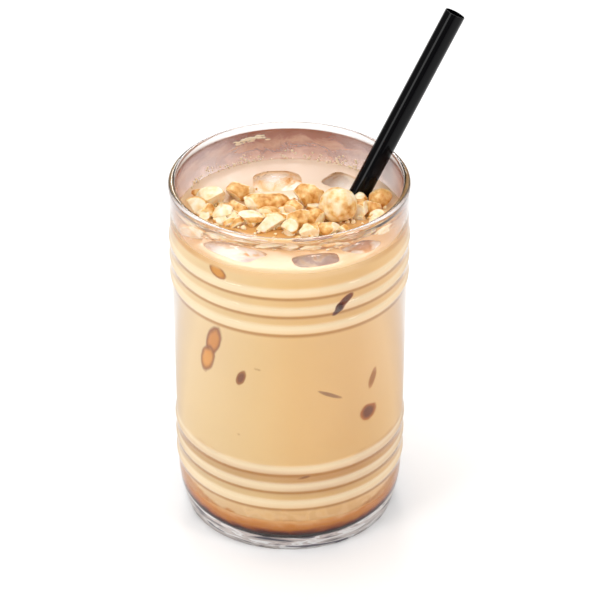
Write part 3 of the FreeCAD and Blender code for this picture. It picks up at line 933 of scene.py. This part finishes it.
lean = Vector((0, 0, 1)).rotation_difference(straw_way).to_matrix().to_4x4()
bmesh.ops.transform(straw_bm, matrix=Matrix.Translation(straw_foot) @ lean,
                    verts=straw_bm.verts[:])
piece(straw_bm, "drinking_straw", straw_material, ["straw"], sharp=35)

# %% [markdown]
# The drink has washed up the inside of the glass and left a thin brown film in dark and pale
# streaks. It is a closed skin less than a tenth of a millimetre thick, see-through in patches:
# browner just below the rim, where it has dried, and paler below.

# %% Residue film
film_material, tree, out = new_material("dried coffee film")
coords = add(tree, "ShaderNodeTexCoord").outputs["Object"]
split = add(tree, "ShaderNodeSeparateXYZ", Vector=coords)
below_rim = add(tree, "ShaderNodeMapRange", Value=split.outputs["Z"], From_Min=LEVEL,
                From_Max=HEIGHT - 1.5 * MM, To_Min=0.0, To_Max=0.5).outputs[0]
runs = add(tree, "ShaderNodeMapping", Vector=coords, Scale=(1.0, 1.0, 2.0))
wash = add(tree, "ShaderNodeTexNoise", Vector=runs.outputs[0], Scale=1 / (9 * MM), Detail=5.0,
           Roughness=0.62, Distortion=0.8)
film_tone = add(tree, "ShaderNodeMath", {"operation": "MULTIPLY_ADD"}, _0=wash.outputs["Fac"],
                _1=0.5, _2=below_rim).outputs[0]
film_colour = ramp(tree, film_tone, [
    (0.20, srgb("#F0C09A")), (0.36, srgb("#D8925C")), (0.46, srgb("#AC6232")),
    (0.53, srgb("#D0905C")), (0.62, srgb("#A6541C")), (0.80, srgb("#94460E"))])
# the back of the glass was wetted more than the front when the drink was carried
backward = add(tree, "ShaderNodeMapRange", {"interpolation_type": "SMOOTHSTEP"},
               Value=split.outputs["Y"], From_Min=-24 * MM, From_Max=6 * MM, To_Min=0.10,
               To_Max=1.0).outputs[0]
film_patch = add(tree, "ShaderNodeMapRange", Value=film_tone, From_Min=0.15, From_Max=0.95,
                 To_Min=0.42, To_Max=0.85).outputs[0]
sideways = add(tree, "ShaderNodeMath", {"operation": "ABSOLUTE"}, _0=split.outputs["X"])
thinner = add(tree, "ShaderNodeMapRange", {"interpolation_type": "SMOOTHSTEP"},
              Value=sideways.outputs[0], From_Min=8 * MM, From_Max=30 * MM, To_Min=1.0,
              To_Max=0.66).outputs[0]
film_cover = add(tree, "ShaderNodeMath", {"operation": "MULTIPLY"}, _0=film_patch,
                 _1=backward).outputs[0]
film_cover = add(tree, "ShaderNodeMath", {"operation": "MULTIPLY"}, _0=film_cover,
                 _1=thinner).outputs[0]
film_shader = add(tree, "ShaderNodeBsdfPrincipled", Base_Color=film_colour, Roughness=0.3,
                  IOR=1.35, Alpha=film_cover)
tree.links.new(film_shader.outputs[0], out.inputs["Surface"])
print(film_material.name, len(tree.nodes), "nodes")
FILM_GAP = 0.02 * MM
FILM_THICK = 0.08 * MM
film_top = HEIGHT - 1.9 * MM
film_low = LEVEL + 0.2 * MM
film_heights = [film_low + (film_top - film_low) * i / 10 for i in range(11)]
film_outline = [(inner_radius(z) - FILM_GAP, z) for z in film_heights]
film_outline += [(r - FILM_THICK, z) for r, z in reversed(film_outline)]
film_outline.append(film_outline[0])
piece(spin_outline(film_outline, 160), "residue_film", film_material)

# %% [markdown]
# Froth that the drink left behind: small cream drops that cling to the back wall just above
# the surface. Higher up one smear of the same cream drops is a painted highlight, a bright glint
# on the wet back wall. Each is a flattened ball that touches the film.

# %% Froth drops and painted glint
froth_and_glint_material, tree, out = new_material("milk froth and painted glint")
froth_and_glint_shader = add(tree, "ShaderNodeBsdfPrincipled", Base_Color=srgb("#F3DFC2"), Roughness=0.2,
                   IOR=1.35, Subsurface_Weight=0.2, Subsurface_Radius=(1.0, 0.7, 0.4),
                   Subsurface_Scale=0.8 * MM)
tree.links.new(froth_and_glint_shader.outputs[0], out.inputs["Surface"])
print(froth_and_glint_material.name, len(tree.nodes), "nodes")


def froth_drop(bm, bearing, z, along, up):
    """One drop on the inner wall: bearing in degrees, sizes are radii."""
    drop = bmesh.ops.create_icosphere(bm, subdivisions=2, radius=1.0)["verts"]
    thick = min(along, up) * 0.6
    shape = Matrix.Diagonal((thick, along, up, 1.0))
    place = Matrix.Translation((inner_radius(z) - 0.1 * MM - thick, 0, z))
    pose = Matrix.Rotation(math.radians(bearing), 4, "Z") @ place @ shape
    bmesh.ops.transform(bm, matrix=pose, verts=drop)


rng = random.Random(5)
froth_and_glint_bm = bmesh.new()
for _ in range(110):
    size = rng.uniform(0.18, 0.55) * MM
    froth_drop(froth_and_glint_bm, rng.uniform(50, 152), LEVEL + (0.9 + abs(rng.gauss(0, 1.5))) * MM, size,
               size * rng.uniform(0.8, 1.3))
# painted highlight: this smear of cream drops stands in for a bright glint on the wet back wall
for _ in range(34):
    froth_drop(froth_and_glint_bm, rng.gauss(113, 4.0), 121.0 * MM + rng.gauss(0, 0.7) * MM,
               rng.uniform(0.5, 1.5) * MM, rng.uniform(0.2, 0.5) * MM)
piece(froth_and_glint_bm, "froth_drops_and_painted_glint", froth_and_glint_material)
